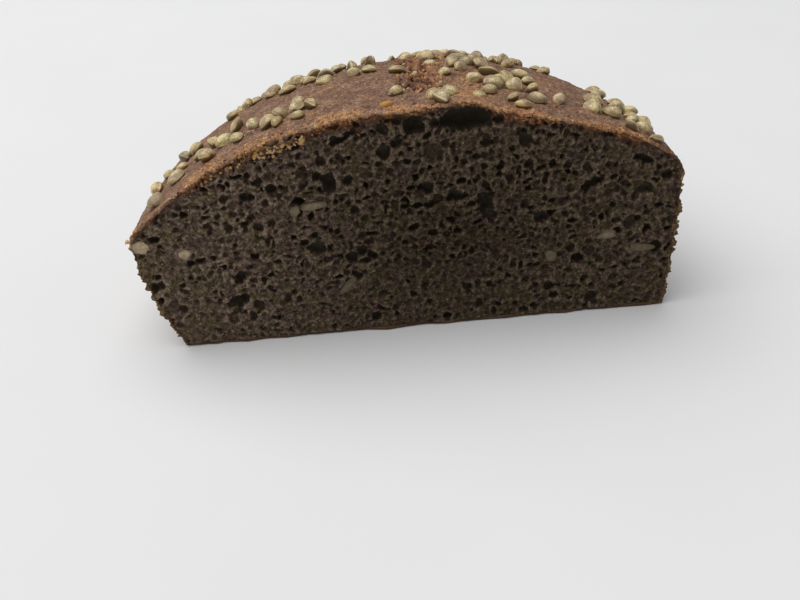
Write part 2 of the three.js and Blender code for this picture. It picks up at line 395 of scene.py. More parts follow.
# %% [markdown]
# ### Where the crust is torn
#
# The crust broke open in two places: the burst along the crown, and the edge of the cut on the left, where
# the knife tore flakes off. Along the rest of the cut a rusty rim shows, wide here and narrow there. Each
# becomes a share from 0 to 1 over the grid, which leads both the relief and the colour.

# %% Torn places
# Torn clumps of the rim: middle across and half width
TORN_RIM = [(-30.8, 3.6), (-40.7, 2.8)]
TORN_FROM = 1.2
TORN_TO = 5.5
# Notches where the rim flaked off: middle across and half width
FLAKED = [(-26.9, 1.7), (-23.7, 1.4)]
FLAKED_REACH = 2.4
# Rusty stretches of the rim: middle across, half width, reach behind the cut and down the face
RUSTY = [
    (-31.0, 4.5, 6.0, 1.3),
    (-43.0, 4.5, 6.0, 0.2),
    (-53.0, 4.0, 1.2, 0.2),
    (-19.0, 6.0, 5.0, 1.1),
    (-6.0, 8.0, 6.0, 1.3),
    (14.0, 6.0, 2.0, 0.4),
    (25.0, 5.0, 5.0, 1.1),
    (46.0, 9.0, 2.0, 0.4),
]
RUST_LEAST = 1.0
# Crumbs among the seeds beside the burst
STREWN = {"x": 17.0, "d": 16.0, "wide": 10.4, "deep": 13.0, "rise": 0.5}


def on_face(x, z):
    """Points in the plane of the cut."""
    return np.stack([x, np.zeros_like(x), z], axis=-1)


def rim_mood(x):
    """How rusty the rim is at a place across: patchy, and quiet over the blister and at both ends."""
    patchy = 0.3 + 0.7 * smooth(cloud(on_face(x, 0 * x), 5.0, 316), -0.35, 0.3)
    ends = (0.5 + 0.5 * smooth(x, -57.0, -42.0)) * (1.0 - 0.7 * smooth(x, 47.0, 56.0))
    return patchy * ends * (1.0 - 0.2 * bell((x - BLISTER["x"]) / 7.0))


def clumped(x, clumps):
    """Share of the nearest clump at a place across."""
    return np.max([bell((x - middle) / wide) for middle, wide in clumps], axis=0)


print("torn clumps:", len(TORN_RIM), "notches:", len(FLAKED), "rusty stretches:", len(RUSTY))

# %% Shares of the torn places
dome_x = dome[..., 0]
dome_behind = behind[:, TOP]
fine = cloud(dome, 0.9, 310)
speck = cloud(dome, 0.55, 311)
ragged = 1.2 * fine + 1.8 * cloud(dome, 4.5, 317)
burst_half = TEAR["half"] + 0.4 + 0.03 * (dome_behind - TEAR["from"]) + ragged
burst = bell(tear_aside(dome_x, dome_behind) / burst_half) * tear_strength(dome_behind)
burst = smooth(burst, 0.1, 0.75)
torn_edge = clumped(dome_x, TORN_RIM) ** 0.7 * fade(dome_behind + 1.3 * fine, TORN_FROM, TORN_TO)
rust_reach = RUST_LEAST * (1.0 + 0.8 * cloud(dome[:1], 4.0, 315))
for middle, wide, reach, _ in RUSTY:
    rust_reach = rust_reach + reach * bell((dome_x[:1] - middle) / wide)
rust_edge = fade(dome_behind + 0.8 * fine + 0.5 * speck, 0.2 * rust_reach, 1.3 * rust_reach)
rust_edge = rust_edge * rim_mood(dome_x[:1])
flaked = clumped(dome_x, FLAKED) * fade(dome_behind + 0.6 * fine, 0.5 * FLAKED_REACH, FLAKED_REACH)
torn = np.zeros((rows, columns))
torn[:, TOP] = burst
near_cut = np.zeros((rows, columns))
near_cut[:, TOP] = np.max([rust_edge, torn_edge, mound(dome_x, dome_behind, STREWN)], axis=0)
for wall, _, _ in WALLS:
    near_cut[:, wall] = fade(behind[:, wall], 0.3, 1.8)
print("share of the dome that is torn:", round(float((burst > 0.5).mean()), 3))

# %% [markdown]
# ### Relief of the crust
#
# The top is matt and grainy. The walls baked against a tin, so they are full of opened pores and ragged
# teeth. The relief moves each point along its own upright, and fades where the parts of the crust meet.

# %% Relief of the walls
WALL_PORES = [(900, 0.25, 0.5), (420, 0.5, 0.95), (70, 0.95, 1.5)]
WALL_DEEPEST = 1.3


def wall_relief(points, seed):
    """Pores and teeth of one side wall, over rows into the depth and columns up the wall."""
    deep = run_along(points[:, -1])
    high = np.arange(points.shape[1]) * WALL_STEP
    bends = [rough(points, (1.4, 0.6), (0.32, 0.14), seed + step) for step in (0, 40)]
    pores = scatter_pores(WALL_PORES, (0.0, high[-1]), (0.0, deep[-1]), seed)
    teeth = rough(points, (2.0, 0.9, 0.5), (0.28, 0.36, 0.36), seed + 80)
    teeth = teeth * (1.0 + 0.8 * fade(deep, 0.5, 4.0))[:, None]
    return teeth - np.minimum(press_pores(high, deep, pores, bends), WALL_DEEPEST)


left_relief = wall_relief(left_wall, 400)
right_relief = wall_relief(right_wall[:, ::-1], 500)[:, ::-1]
print("lowest of the walls, mm:", left_relief.min().round(2), right_relief.min().round(2))

# %% Relief of the whole crust
FLAKED_DEEP = 1.3
BASE_SUNK = 0.55


def grid_normals(grid):
    """Upright direction at each point of a grid that is closed round its columns."""
    ring = np.roll(grid, -1, axis=1) - np.roll(grid, 1, axis=1)
    return unit(np.cross(ring, np.gradient(grid, axis=0)))


dome_rough = rough(dome, (5.0, 2.2, 1.1, 0.6), (0.1, 0.1, 0.14, 0.16), 300)
crumbs = np.abs(cloud(dome, 1.1, 322)) + 0.7 * np.abs(cloud(dome, 0.6, 323))
lumps = 0.7 * np.abs(cloud(dome, 3.2, 320)) + 0.6 * np.abs(cloud(dome, 1.6, 321)) + 0.5 * crumbs
calm = 1.0 - 0.8 * bell((dome_x - BLISTER["x"]) / 8.0) * bell(dome_behind / 5.0)
grainy = calm * near_cut[:, TOP] * (0.3 + 0.7 * smooth(dome_behind, 0.0, 1.5))
torn_relief = burst * (2.5 * lumps - 1.5) + grainy * (0.9 * crumbs - 0.3) + 0.9 * torn_edge * (crumbs - 0.3)
relief = np.zeros((rows, columns))
relief[:, TOP] = (dome_rough + torn_relief) * (1.0 - flaked) - FLAKED_DEEP * flaked
relief[:, WALLS[0][0]] = left_relief
relief[:, WALLS[1][0]] = right_relief
strength = np.zeros(columns)
strength[TOP] = 1.0
for wall, s, _ in WALLS:
    strength[wall] = smooth(s, 0.0, 0.08) * (1.0 - 0.6 * smooth(s, 0.9, 1.0))
relief *= strength * fade(row_t, 0.9993, 0.99994)[:, None]
crust_points = crust_grid + relief[..., None] * grid_normals(crust_grid)
crust_points[..., 2] = np.maximum(crust_points[..., 2], 0.0)
cut_ragged = rough(crust_points[0], (3.0, 1.2, 0.6), (0.3, 0.35, 0.25), 340)
crust_points[..., 1] += cut_ragged * fade(behind, 0.0, 2.5)
# Depth below the relief: it leads painted shade in the hollows
painted_shade_share = np.clip(-relief, 0.0, 1.0)
# Painted shade: the right shoulder by the cut is darkened
shoulder = smooth(dome_x, 50.0, 58.0) * fade(dome_behind, 1.0, 7.0)
# Painted shade in the crust's hollows, the gaps of the burst, the notches of the rim and the right shoulder
dark = [0.4 * painted_shade_share[:, TOP], burst * fade(lumps, 0.3, 0.7), flaked, 0.55 * shoulder]
painted_shade_share[:, TOP] = np.max(dark, axis=0)
# The base is darkened as well
painted_shade_share[:, BASE] = BASE_SUNK
print("crust relief, mm, lowest and highest:", relief.min().round(2), relief.max().round(2))

# %% [markdown]
# ### The sleeve
#
# At the cut the skin turns in by a little and runs back as a sleeve, which holds the crumb. A cap closes the
# sleeve and one face closes the far end, so the crust has no open edge.

# %% Sleeve at the cut and the closed crust
RIM_DOME = 0.55
RIM_WALL = 0.5
RIM_ROUND = 0.12
SLEEVE_DEEP = 9.0
SLEEVE_ROWS = 5


def inward(ring):
    """In-plane direction from the outline of the cut towards its middle."""
    along = np.roll(ring, -1, axis=0) - np.roll(ring, 1, axis=0)
    return unit(on_face(along[:, 2], -along[:, 0]))


outline = crust_grid[0]
on_dome = np.zeros((columns, 1), dtype=bool)
on_dome[TOP] = True
turn_in = inward(outline) * np.where(on_dome, RIM_DOME, RIM_WALL)
sleeve = []
for step in range(SLEEVE_ROWS):
    start = np.where((step == 0) | on_dome & (step == 1), crust_points[0], outline)
    ring = start + turn_in * (0.5 if step == 0 else 1.0)
    back = SLEEVE_DEEP * max(0, step - 1) / (SLEEVE_ROWS - 2)
    ring[:, 1] = CUT + cut_ragged * (step < 2) + back - RIM_ROUND * (step == 0)
    sleeve.append(ring)
sleeve_end = [[0.0, CUT + SLEEVE_DEEP, CROWN / 2]]
points = np.concatenate([crust_points.reshape(-1, 3), *sleeve, sleeve_end])
shell_faces = grid_faces(rows, columns, wrap=True)
sleeve_numbers = rows * columns + np.arange(columns * SLEEVE_ROWS).reshape(-1, columns)
rings = np.concatenate([np.arange(columns)[None], sleeve_numbers])
sleeve_faces = rings.ravel()[grid_faces(SLEEVE_ROWS + 1, columns, wrap=True)][:, ::-1]
cap_faces = np.stack([np.roll(rings[-1], -1), rings[-1], np.full(columns, len(points) - 1)], axis=1)
end_face = ((rows - 1) * columns + np.arange(columns)).tolist()
print("crust faces: shell", len(shell_faces), "sleeve", len(sleeve_faces), "cap", len(cap_faces))

# %% The crust as one piece
MAP_SHELL = 0.07
MAP_SLEEVE = 0.06
MAP_RIM = 0.02


def grid_map(u_edges, v_rows):
    """Map corners for the faces of a grid, column by column and row by row."""
    u0, v0 = np.meshgrid(u_edges[:-1], v_rows[:-1])
    u1, v1 = np.meshgrid(u_edges[1:], v_rows[1:])
    corners = [np.stack(pair, axis=-1) for pair in ((u0, v0), (u1, v0), (u1, v1), (u0, v1))]
    return np.stack(corners, axis=2).reshape(-1, 4, 2)


def with_sleeve(values):
    """Values of the shell, carried on over the sleeve."""
    return np.concatenate([values.ravel(), np.tile(values[0], SLEEVE_ROWS), [0.0]])


round_run = run_along(np.append(outline, outline[:1], axis=0))
u_edges = round_run / round_run[-1]
shell_map = grid_map(u_edges, np.linspace(MAP_SHELL, 1.0, rows))
sleeve_map = grid_map(u_edges, np.linspace(MAP_SLEEVE, MAP_RIM, SLEEVE_ROWS + 1))[:, ::-1]
hidden_map = np.full((cap_faces.size + columns, 2), MAP_RIM / 2)
on_wall = np.zeros((rows, columns))
on_wall[:, BASE] = 1.0
for wall, s, like_top in WALLS:
    on_wall[:, wall] = fade(s, like_top, 1.0)
crust_values = {"torn": torn, "near_cut": near_cut, "wall": on_wall, "painted_shade_share": painted_shade_share}
crust = make_piece(
    "crust",
    points,
    shell_faces.tolist() + sleeve_faces.tolist() + cap_faces.tolist() + [end_face],
    np.concatenate([shell_map.reshape(-1, 2), sleeve_map.reshape(-1, 2), hidden_map]),
    {title: with_sleeve(values) for title, values in crust_values.items()},
)

# %% [markdown]
# ## The crumb
#
# The cut face is the heart of the picture: a dense dark crumb, riddled with pores from a pin prick to a
# bubble as long as a thumb nail. It is a sheet of squares of about a quarter of a millimetre, with a slab
# behind it that fills the sleeve. The large bubbles lie where the loaf has them, the others fall by chance.

# %% Large bubbles and kernels
# Bubbles: across, up, width, height, depth, turn
BUBBLES = [
    (13.3, 49.0, 11.3, 5.3, 6.0, 0.0),
    (2.3, 48.4, 3.9, 4.0, 4.2, 0.0),
    (7.0, 48.9, 1.5, 2.2, 2.0, 0.1),
    (-16.4, 37.2, 3.2, 4.8, 4.0, 0.2),
    (6.3, 42.2, 3.9, 5.2, 1.1, 0.1),
    (17.2, 29.1, 3.6, 5.0, 4.4, 0.25),
    (10.5, 31.6, 5.0, 2.0, 2.8, 0.1),
    (3.0, 30.4, 9.5, 1.1, 2.4, 0.14),
    (40.2, 32.1, 5.6, 2.6, 3.2, 0.3),
    (51.5, 29.9, 4.0, 3.4, 2.0, 0.0),
    (29.2, 25.0, 3.1, 3.6, 2.4, 0.5),
    (-38.6, 10.4, 4.6, 3.1, 3.6, 0.1),
    (-20.0, 22.2, 4.8, 3.0, 2.6, 0.0),
    (-37.5, 16.5, 2.6, 2.8, 2.6, 0.0),
    (-31.1, 38.9, 2.9, 1.8, 1.9, 0.0),
    (-4.7, 43.7, 2.3, 2.5, 2.4, 0.0),
    (-13.0, 47.2, 4.4, 2.0, 2.6, 0.25),
    (17.0, 44.0, 2.4, 2.2, 2.0, 0.0),
    (51.0, 36.6, 4.6, 2.0, 2.6, -0.3),
]
# Kernels: across, up, width, height, turn, paleness
KERNELS = [
    (-20.2, 32.4, 5.6, 1.8, 0.12, 0.3),
    (-24.1, 31.7, 2.4, 2.4, 0.0, 0.25),
    (-57.7, 26.1, 4.4, 3.5, -0.35, 0.85),
    (-48.9, 23.6, 3.2, 2.6, 0.3, 0.75),
    (-14.5, 12.0, 4.7, 1.8, 0.8, 0.12),
    (43.8, 19.2, 4.5, 2.1, 0.12, 0.27),
    (51.3, 15.4, 5.6, 2.3, -0.06, 0.12),
    (31.3, 15.3, 2.4, 2.6, 0.3, 0.14),
]
print("large bubbles:", len(BUBBLES), "kernels:", len(KERNELS))

# %% Sheet of the cut face
FACE_STEP = 0.234
FACE_TOP = CROWN + 3.0
FACE_MARGIN = 0.3
WALL_TOP = 33.0
FAR = 99.0
EDGE_POINTS = 200
face_x = np.arange(-HALF, HALF + FACE_STEP, FACE_STEP)
face_z = np.arange(0.0, FACE_TOP, FACE_STEP)
sheet_x, sheet_z = np.meshgrid(face_x, face_z)
sheet = on_face(sheet_x, sheet_z)


def near_finder(points):
    """A tree that finds the nearest of some points."""
    tree = KDTree(len(points))
    for number, point in enumerate(points.tolist()):
        tree.insert(point, number)
    tree.balance()
    return tree


def distance_to(line):
    """Distance of every point of the sheet from a line of points."""
    tree = near_finder(line * [1.0, 0.0, 1.0])
    found = [tree.find(place)[2] for place in sheet.reshape(-1, 3).tolist()]
    return np.array(found).reshape(sheet_x.shape)


top_edge = with_roof(dome_point(np.linspace(-1.0, 1.0, DENSE), 0.0))
heights = np.linspace(0.0, 1.0, EDGE_POINTS)
left_edge, right_edge = wall_point(False, heights, 0.0), wall_point(True, heights, 0.0)
from_top = distance_to(top_edge[::8])
from_side = np.where(sheet_z > WALL_TOP, FAR, distance_to(np.concatenate([left_edge, right_edge])))
edge = np.minimum(np.minimum(from_top, from_side), sheet_z)
below_top = sheet_z < np.interp(sheet_x, top_edge[:, 0], top_edge[:, 2])
right_of = (sheet_x > np.interp(sheet_z, left_edge[:, 2], left_edge[:, 0])) | (sheet_z > LIP[0])
left_of = (sheet_x < np.interp(sheet_z, right_edge[:, 2], right_edge[:, 0])) | (sheet_z > LIP[1])
inside = below_top & right_of & left_of & (edge > FACE_MARGIN)
print("face sheet:", sheet_x.shape, "inside:", int(inside.sum()))

# %% [markdown]
# ### Foam between the pores
#
# Between the bubbles the crumb is a foam of cells with thin ragged walls, most of them shallow and a few
# deep. Each cell belongs to a point of a shaken grid. A place whose nearest two points are almost equally far
# lies on a wall, and elsewhere it sinks into its cell.

# %% Foam cells
LARGE_CELL = 1.6
SMALL_CELL = 0.8
SHAKE = 0.48
LEFT_OUT = 0.2


def cells(size, seed):
    """Gap to the wall and the luck of the cell, over the bent sheet."""
    chance = np.random.default_rng(seed)
    spots = on_face(*np.meshgrid(np.arange(-HALF, HALF, size), np.arange(0.0, FACE_TOP, size))).reshape(-1, 3)
    spots[:, [0, 2]] += chance.uniform(-SHAKE, SHAKE, (len(spots), 2)) * size
    spots = spots[chance.random(len(spots)) > LEFT_OUT]
    luck = chance.random(len(spots))
    tree = near_finder(spots)
    found = []
    for place in bent.reshape(-1, 3).tolist():
        (_, number, near), (_, _, next_near) = tree.find_n(place, 2)
        found.append((next_near - near, luck[number]))
    return np.array(found).T.reshape(2, *sheet_x.shape)


bends = [rough(sheet, (2.6, 1.1, 0.6), (0.5, 0.34, 0.2), table) for table in (600, 640)]
bent = sheet + on_face(*bends)
gap, luck = cells(LARGE_CELL, 645)
worn = 0.5 * cloud(sheet, 1.5, 646)
large_cells = (0.15 + 1.15 * luck**1.8 + 0.9 * smooth(luck, 0.82, 1.0)) * smooth(gap + worn, 0.2, 1.25)
gap, luck = cells(SMALL_CELL, 647)
small_cells = (0.06 + 0.4 * luck**2) * smooth(gap, 0.08, 0.5)
foam_depth = (large_cells + small_cells) * (0.6 + 0.4 * smooth(sheet_z, 4.0, 26.0))
foam_depth *= 0.75 + 0.25 * smooth(sheet_x, -52.0, -25.0)
print("foam, mean depth, mm:", foam_depth[inside].mean().round(3))

# %% Pores of the cut face
FACE_PORES = [(900, 0.22, 0.4), (520, 0.4, 0.7), (260, 0.7, 1.1), (56, 1.1, 1.6)]
DEEPEST = 7.0
KERNEL_BED = 0.7
STEEP = 0.5
STEEP_LARGE = 0.3
OPEN = 0.4


def crowded(z):
    """How likely a pore is kept: fewer low down."""
    return 0.6 + 0.4 * float(smooth(z, 6.0, 30.0))


chance_pores = scatter_pores(FACE_PORES, (-HALF, HALF), (0.0, CROWN), 650, crowded)
named_pores = []
for x, z, w, h, deep, turn in BUBBLES:
    named_pores.append((x, z, w / 2, h / 2, deep, STEEP_LARGE if w > 10.0 else STEEP, turn))
# The large bubble keeps its outline, the other named ones bend most
groups = [(chance_pores, 0.6), (named_pores[:1], 0.5), (named_pores[1:], 1.2)]
chance_depth, *named_depths = [press_pores(face_x, face_z, pores, bends, bend) for pores, bend in groups]
depth = np.maximum(chance_depth, foam_depth) * (0.25 + 0.75 * smooth(edge, 0.4, 1.5))
depth = np.maximum(depth, np.maximum(*named_depths) * smooth(edge, 0.55, 1.15))
for x, z, w, h, turn, _ in KERNELS:
    a, b = turned_plane(sheet_x - x, sheet_z - z, turn)
    r = np.hypot(a / (w / 2), b / (h / 2))
    depth = np.maximum(depth * smooth(r, 0.8, 1.25), KERNEL_BED * fade(r, 0.7, 0.95))
depth = np.minimum(depth, DEEPEST)
surface = rough(sheet, (7.0, 2.4, 1.2, 0.7, 0.45), (0.16, 0.16, 0.16, 0.14, 0.12), 700) - depth
open_share = float((depth[inside] > OPEN).mean())
print("pores:", len(chance_pores) + len(named_pores), "open share of the face:", round(open_share, 3))

# %% Crests and hollows, for painted light on ridges and painted shade in hollows
CREST_REACH = 5
CREST_FLOOR = -1.2


def blurred(values, reach):
    """Mean of a sheet over a small square round each point."""
    total = 0.0
    padded = np.pad(values, reach, mode="edge")
    for j, k in np.ndindex(2 * reach + 1, 2 * reach + 1):
        total = total + padded[j:j + values.shape[0], k:k + values.shape[1]]
    return total / (2 * reach + 1) ** 2


shallow = np.maximum(surface, CREST_FLOOR)
ridge_light_hollow_shade = np.clip(0.5 + 0.8 * (shallow - blurred(shallow, CREST_REACH)), 0.0, 1.0)
print("crest, tenth and nine tenths:", np.quantile(ridge_light_hollow_shade[inside], [0.1, 0.9]).round(2))

# %% [markdown]
# ### What the crumb carries
#
# Each point of the crumb also keeps how deep it lies in a pore, a crest value that paints light on the ridges
# and shade in the hollows, how near it is to the crust and to the golden walls, whose edge gets a painted
# highlight, and a share of painted shade that darkens the middle and right of the face.

# %% Values of the crumb
PORE_FULL = 2.4
# The next mound is painted shade over the middle of the cut face
SHADED_MIDDLE = {"x": 8.0, "d": 22.0, "wide": 30.0, "deep": 15.0, "rise": 0.4}
rust_thick = 1.0 + 0.5 * cloud(sheet, 4.0, 710) + 0.5 * cloud(sheet, 0.8, 711)
for middle, wide, _, down in RUSTY:
    rust_thick = rust_thick + down * bell((sheet_x - middle) / wide) * (1.0 + cloud(sheet, 1.3, 712))
crusty = (0.25 + 0.75 * rim_mood(sheet_x)) * fade(from_top, 0.4 * rust_thick, 1.5 * rust_thick)
crusty = crusty * (1.0 - 0.9 * clumped(sheet_x, FLAKED)) * (1.0 - 0.7 * smooth(sheet_x, 46.0, 54.0))
crumb_values = {
    "pore": np.clip(depth / PORE_FULL, 0.0, 1.0),
    "ridge_light_hollow_shade": ridge_light_hollow_shade,
    "crusty": crusty,
    # Golden edge by the side walls: partly the crust's colour, partly a painted highlight
    "golden_edge_and_highlight": 0.8 * fade(from_side + 0.5 * cloud(sheet, 0.9, 713), 0.2, 1.2),
    # Painted shade, darker from the left towards the middle and right of the face
    "painted_middle_shade": 0.6 * smooth(sheet_x, -45.0, 5.0) + mound(sheet_x, sheet_z, SHADED_MIDDLE),
}
print("share of the face near the crust:", round(float((crusty[inside] > 0.5).mean()), 3))

# %% The crumb as one piece
SLAB_DEEP = 8.2
SLAB_SHRINK = 0.93
SLAB_LIFT = 1.5
numbers = grid_faces(*sheet_x.shape)
numbers = numbers[inside.ravel()[numbers].all(axis=1)]
used, packed = np.unique(numbers, return_inverse=True)
quads = packed.reshape(-1, 4)
face_points = np.stack([sheet_x, CUT - surface, sheet_z], axis=-1).reshape(-1, 3)[used]
count = len(face_points)
sides = np.concatenate([quads[:, [a, (a + 1) % 4]] for a in range(4)]).astype(np.int64)
border = sides[~np.isin(sides @ [count, 1], sides @ [1, count])]
rim_points, rim_index = np.unique(border, return_inverse=True)
rim_index = count + rim_index.reshape(-1, 2)
slab = face_points[rim_points] * [SLAB_SHRINK, 0.0, SLAB_SHRINK] + [0.0, CUT + SLAB_DEEP, SLAB_LIFT]
slab_middle = [[0.0, CUT + SLAB_DEEP, CROWN / 2]]
side_faces = np.stack([border[:, 1], border[:, 0], rim_index[:, 0], rim_index[:, 1]], axis=1)
to_middle = np.full(len(border), count + len(rim_points))
back_faces = np.stack([rim_index[:, 1], rim_index[:, 0], to_middle], axis=1)
flat_map = (face_points[:, [0, 2]] - [face_x[0], 0.0]) * 0.96 / WIDTH + [0.02, 0.05]
hidden_map = np.full((side_faces.size + back_faces.size, 2), 0.01)
no_value = np.zeros(len(slab) + 1)
crumb = make_piece(
    "crumb",
    np.concatenate([face_points, slab, slab_middle]),
    quads.tolist() + side_faces.tolist() + back_faces.tolist(),
    np.concatenate([flat_map[quads].reshape(-1, 2), hidden_map]),
    {title: np.append(values.ravel()[used], no_value) for title, values in crumb_values.items()},
)

# %% [markdown]
# ## Round things: kernels, seeds and torn bits
#
# Blender's own spheres have poles where the faces crowd. A ball made from the six faces of a cube has even
# squares all over and six tidy patches for its map. Every kernel, seed and torn bit starts as this ball, is
# bent to its own form, and all of a kind are one mesh.

# %% An even ball and a strewer
def even_ball(cuts):
    """Points of a ball of radius 1, its four-cornered faces and the corners' map."""
    line = np.tan(np.linspace(-1.0, 1.0, cuts + 1) * math.pi / 4)
    a, b = np.meshgrid(line, line, indexing="ij")
    one = np.ones_like(a)
    sides = [(a, b, one), (b, a, -one), (one, a, b), (-one, b, a), (b, one, a), (a, -one, b)]
    patches = unit(np.concatenate([np.stack(side, axis=-1).reshape(-1, 3) for side in sides]))
    _, first, same = np.unique(patches.round(6), axis=0, return_index=True, return_inverse=True)
    corners = np.concatenate([grid_faces(cuts + 1, cuts + 1, side * a.size) for side in range(6)])
    step = np.linspace(0.03, 0.97, cuts + 1)
    spots = np.stack(np.meshgrid(step, step), axis=-1).reshape(-1, 2)
    shelf = np.concatenate([(spots + [side % 3, side // 3]) / [3, 2] for side in range(6)])
    ball = patches[first]
    faces = same.reshape(-1)[corners]
    maps = shelf[corners]
    p, q, r = (ball[faces[:, i]] for i in range(3))
    wrong = (np.cross(q - p, r - q) * p).sum(axis=1) < 0
    faces[wrong] = faces[wrong][:, ::-1]
    maps[wrong] = maps[wrong][:, ::-1]
    return ball, faces, maps


def strew(name, shapes, ball_faces, ball_map, values):
    """Many bent balls as one piece; shapes is one array of points for each of them."""
    shapes = np.asarray(shapes)
    many, each = shapes.shape[:2]
    shelf = math.ceil(math.sqrt(many))
    cell = np.stack([np.arange(many) % shelf, np.arange(many) // shelf], axis=-1)
    faces = (ball_faces[None] + np.arange(many)[:, None, None] * each).reshape(-1, 4)
    maps = (ball_map[None] + cell[:, None, None, :]) / shelf
    return make_piece(name, shapes.reshape(-1, 3), faces.tolist(), maps.reshape(-1, 2), values)


print("points of a ball of three cuts:", len(even_ball(3)[0]))

# %% [markdown]
# ### Kernels in the crumb
#
# Here and there the knife cut a pale kernel open. It lies almost flush in the crumb, a beige oval a few
# millimetres long with crumb clinging to its edge: a bent ball pushed into the sheet is enough for that.

# %% Kernels
KERNEL_CUTS = 10
KERNEL_PROUD = 0.2
KERNEL_THICK = 1.3
ball, ball_faces, ball_map = even_ball(KERNEL_CUTS)
kernel_shapes = []
for number, (x, z, w, h, turn, _) in enumerate(KERNELS):
    lumpy = 1.0 + rough(ball + 9.0 * number, (0.9, 0.4), (0.32, 0.18), 720)
    body = ball * lumpy[:, None] * [w / 2, KERNEL_THICK, h / 2]
    a, b = turned_plane(body[:, 0], body[:, 2], -turn)
    uneven = 0.07 * cloud(on_face(x + a, z + b), 0.7, 722)
    y = CUT + np.maximum(body[:, 1], -KERNEL_PROUD - 0.06 * body[:, 1] + uneven)
    kernel_shapes.append(np.stack([x + a, y, z + b], axis=-1))
kernel_values = {
    "pale": np.repeat([kernel[-1] for kernel in KERNELS], len(ball)),
    "brim": np.tile(np.hypot(ball[:, 0], ball[:, 2]), len(KERNELS)),
}
kernels = strew("kernels", kernel_shapes, ball_faces, ball_map, kernel_values)

# %% [markdown]
# ### Hemp seeds
#
# A hemp seed is a small egg with a keel round its edge and a point at one end. The seeds fell in loose
# groups. The rule below fused the plain seeds to the solid, and it is drawn in the same order here, so each
# fine seed sits exactly on its plain one.

# %% Where the seeds lie
SEED = {"long": 2.22, "wide": 1.66, "thick": 1.22, "vary": 0.2, "lift": 0.5, "apart": 3.4, "edge": 0.93}
SEED_FROM = 0.02
# Groups: middle across and behind the cut, spread of both, and how many
SCATTER = [
    (-51, 22, 8, 14, 6),
    (-35, 15.5, 7, 7, 7),
    (-23.5, 13, 7, 6, 6),
    (-34, 48, 11, 8, 9),
    (-17, 46, 13, 11, 13),
    (-9, 31, 7, 4, 3),
    (0, 11.5, 0.5, 0.5, 1),
    (1, 28, 1, 1, 1),
    (9.6, 7, 3, 7, 3),
    (17.5, 7.5, 1, 1, 1),
    (16.5, 34, 8, 14, 11),
    (27.5, 15, 8, 11, 8),
    (43, 8, 4, 8, 3),
    (50.5, 17, 3, 18, 6),
    (53, 7, 5, 5, 4),
    (34, 50, 12, 8, 11),
    (13, 57, 14, 7, 9),
    (24, 13, 9, 9, 5),
    (3, 70, 26, 10, 9),
    (46, 35, 3, 7, 2),
    (-48.5, 19, 3, 10, 2),
]
TRIES = 40
NUDGE = 0.01
print("groups of seeds:", len(SCATTER))


# %% Drawing the seeds' places
def own_u(x, d, right):
    """The dome's own u at x across and d behind the cut, by the plan of one side."""
    return (x - LEAN * d) / float(half_width(right, d / LENGTH))


def on_crust(x, d):
    """The dome's own u and t at a place, or None outside the crust."""
    t = d / LENGTH
    if t < SEED_FROM or t > SEED["edge"]:
        return None
    u = own_u(x, d, x >= LEAN * d)
    return (u, t) if abs(u) < SEED["edge"] else None


def crust_upright(u, t):
    """Upright direction of the crust at a place."""
    along_u = dome_point(u + NUDGE, t) - dome_point(u - NUDGE, t)
    along_t = dome_point(u, t + NUDGE) - dome_point(u, t - NUDGE)
    return unit(np.cross(along_u, along_t))


def seed_places():
    """Middle, upright, turn and size of every seed, group by group."""
    numbers = drawer(DRAW_SEED)
    placed = []
    for gx, gd, sx, sd, count in SCATTER:
        left = count
        for _ in range(TRIES * count):
            if left == 0:
                break
            x = gx + sx * (next(numbers) + next(numbers) + next(numbers) - 1.5)
            d = gd + sd * (next(numbers) + next(numbers) + next(numbers) - 1.5)
            spot = on_crust(x, d)
            if spot is None:
                continue
            point = dome_point(*spot)
            if any(np.linalg.norm(other[0] - point) < SEED["apart"] for other in placed):
                continue
            size = 1.0 + SEED["vary"] * (2.0 * next(numbers) - 1.0)
            placed.append((point, crust_upright(*spot), 2.0 * math.pi * next(numbers), size))
            left -= 1
    return placed


places = seed_places()
print("seeds:", len(places))

# %% Form of a seed
SEED_CUTS = 8
ball, ball_faces, ball_map = even_ball(SEED_CUTS)


def seed_form(points):
    """A unit ball bent to a hemp seed: a pointed end, a blunt end and a keel round the edge."""
    x, y, z = points.T
    pointed = x > 0.0
    girth = np.sqrt(np.maximum(1e-12, 1.0 - x * x))
    cosine, sine = y / girth, z / girth
    taper = np.maximum(0.0, 1.0 - np.abs(x) ** np.where(pointed, 1.9, 2.3))
    breadth = np.where(pointed, taper, taper**0.6)
    thickness = np.where(pointed, taper**0.85, taper**0.6)
    lens = np.sign(sine) * np.abs(sine) ** 1.4
    return np.stack([x, breadth * cosine, thickness * lens], axis=-1)


def turned(upright, spin, tilt):
    """Turn that lays a ball's z along the upright, spins it about that and tips it."""
    base = Vector((0.0, 0.0, 1.0)).rotation_difference(Vector(upright))
    return np.array(base.to_matrix() @ Matrix.Rotation(spin, 3, "Z") @ Matrix.Rotation(tilt, 3, "X"))


seed_ball = seed_form(ball)
print("points of a seed:", len(seed_ball), "highest:", seed_ball.max(axis=0).round(2))

